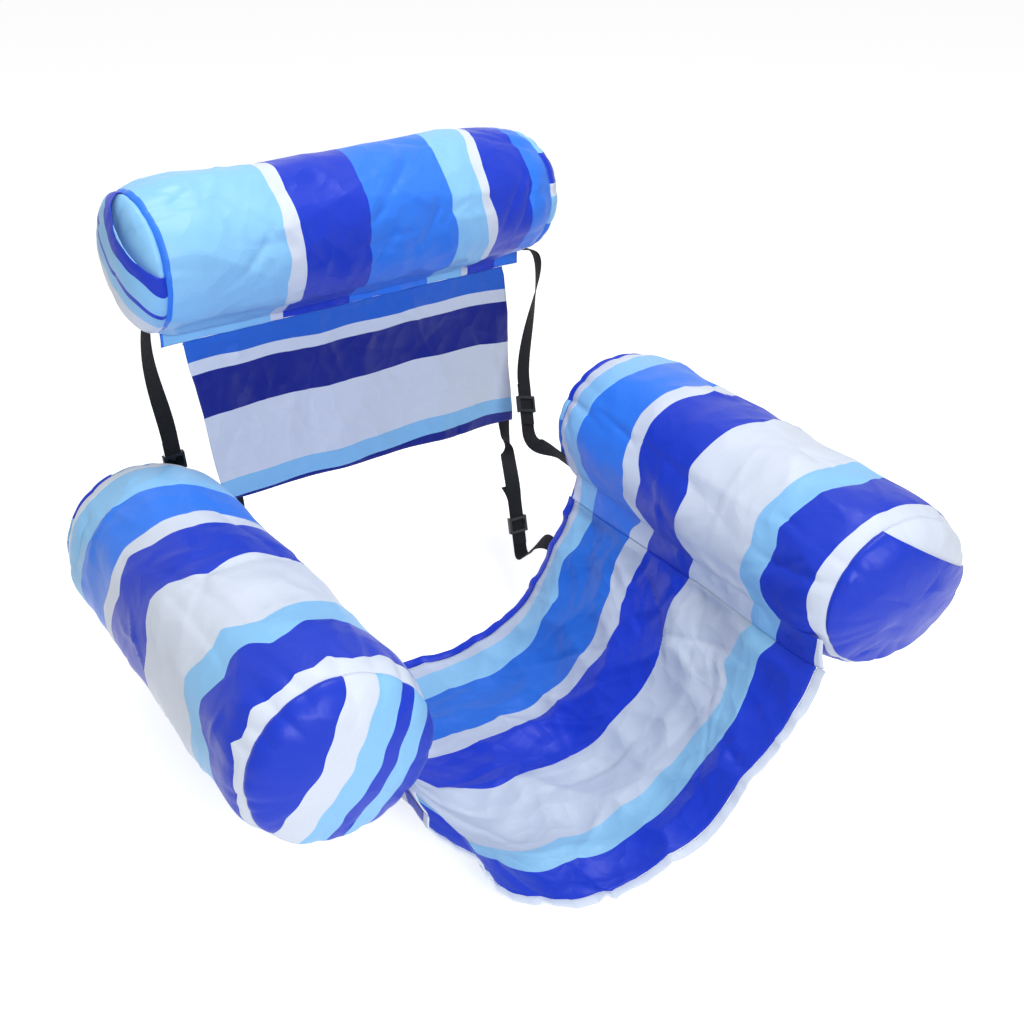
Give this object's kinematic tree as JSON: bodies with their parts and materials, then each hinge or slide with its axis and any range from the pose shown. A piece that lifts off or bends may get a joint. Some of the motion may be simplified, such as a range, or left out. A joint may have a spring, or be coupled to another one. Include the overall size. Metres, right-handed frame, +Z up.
{
  "type": "inflatable pool chair",
  "caption": "Floating lounge chair with two inflatable arm rolls, a sling seat between them and a raised inflatable backrest with a hanging back panel, tied by adjustable webbing.",
  "frame": {"origin": "middle of the four arm seams, on the waterline that holds the chair up", "axes": "+X to the chair's right as the camera sees it, +Y towards the backrest, +Z up"},
  "size_m": [1.0046, 1.1028, 0.8251],
  "materials": {
    "striped_sleeve_cloth": "woven polyester, printed in blue, sky and white stripes across the roll, slightly shiny",
    "striped_cap_cloth": "woven polyester, gathered round the seam",
    "striped_seat_cloth": "woven polyester, striped, hanging in soft wrinkles",
    "striped_panel_cloth": "woven polyester, striped along the backrest",
    "white_hem_cloth": "folded white hem",
    "dark_blue_hem_cloth": "folded dark blue hem",
    "webbing": "black polypropylene webbing, 25 mm",
    "slider_acetal": "moulded black tri-glide",
    "bladder_film": "thin clear blue PVC film",
    "valve_vinyl": "soft moulded vinyl"
  },
  "bodies": {
    "seat": {"left_arm_sleeve": "striped_sleeve_cloth", "left_arm_front_cap": "striped_cap_cloth", "left_arm_rear_outer_half": "striped_cap_cloth", "left_arm_rear_inner_half": "striped_cap_cloth", "left_arm_bladder": "bladder_film", "left_arm_valve": "valve_vinyl", "left_arm_skirt": "striped_sleeve_cloth", "left_arm_strap": "webbing", "left_panel_strap": "webbing", "left_sling_strap": "webbing", "right_arm_sleeve": "striped_sleeve_cloth", "right_arm_rear_cap": "striped_cap_cloth", "right_arm_front_outer_half": "striped_cap_cloth", "right_arm_front_inner_half": "striped_cap_cloth", "right_arm_bladder": "bladder_film", "right_arm_valve": "valve_vinyl", "right_arm_skirt": "striped_sleeve_cloth", "right_arm_strap": "webbing", "right_panel_strap": "webbing", "right_sling_strap": "webbing", "sling_seat": "striped_seat_cloth", "sling_front_hem": "white_hem_cloth", "sling_rear_hem": "dark_blue_hem_cloth"},
    "backrest": {"backrest_sleeve": "striped_sleeve_cloth", "backrest_right_cap": "striped_cap_cloth", "backrest_left_outer_half": "striped_cap_cloth", "backrest_left_inner_half": "striped_cap_cloth", "backrest_bladder": "bladder_film", "backrest_valve": "valve_vinyl", "backrest_flap": "striped_sleeve_cloth", "back_panel": "striped_panel_cloth", "left_back_strap": "webbing", "right_back_strap": "webbing"},
    "left_back_slider": {"left_back_slider": "slider_acetal"},
    "right_back_slider": {"right_back_slider": "slider_acetal"},
    "left_panel_slider": {"left_panel_slider": "slider_acetal"},
    "right_panel_slider": {"right_panel_slider": "slider_acetal"},
    "left_arm_plug": {"left_arm_valve_plug": "valve_vinyl"},
    "right_arm_plug": {"right_arm_valve_plug": "valve_vinyl"},
    "backrest_plug": {"backrest_valve_plug": "valve_vinyl"}
  },
  "joints": [
    {"name": "backrest_recline", "type": "hinge", "parent": "seat", "child": "backrest", "pos_m": [0.00175, 0.31559, -0.04442], "axis": [0.9748, -0.1939, 0.1102], "range_deg": [-50, 10], "deforming": ["left_arm_strap", "right_arm_strap", "left_panel_strap", "right_panel_strap"]},
    {"name": "left_back_slide", "type": "slide", "parent": "backrest", "child": "left_back_slider", "axis": [-0.1167, -0.0985, 0.9883], "range_m": [-0.015, 0.015]},
    {"name": "right_back_slide", "type": "slide", "parent": "backrest", "child": "right_back_slider", "axis": [0.195, 0.5312, 0.8245], "range_m": [-0.015, 0.015]},
    {"name": "left_panel_slide", "type": "slide", "parent": "seat", "child": "left_panel_slider", "axis": [0, 0.2425, 0.9701], "range_m": [-0.015, 0.015]},
    {"name": "right_panel_slide", "type": "slide", "parent": "seat", "child": "right_panel_slider", "axis": [0, 0.2425, 0.9701], "range_m": [-0.015, 0.015]},
    {"name": "left_arm_plug_pull", "type": "slide", "parent": "seat", "child": "left_arm_plug", "axis": [-0.0244, 0.9997, 0], "range_m": [0, 0.006]},
    {"name": "right_arm_plug_pull", "type": "slide", "parent": "seat", "child": "right_arm_plug", "axis": [-0.0244, -0.9997, 0], "range_m": [0, 0.006]},
    {"name": "backrest_plug_pull", "type": "slide", "parent": "backrest", "child": "backrest_plug", "axis": [-0.9731, -0.2282, 0.0314], "range_m": [0, 0.006]}
  ]
}
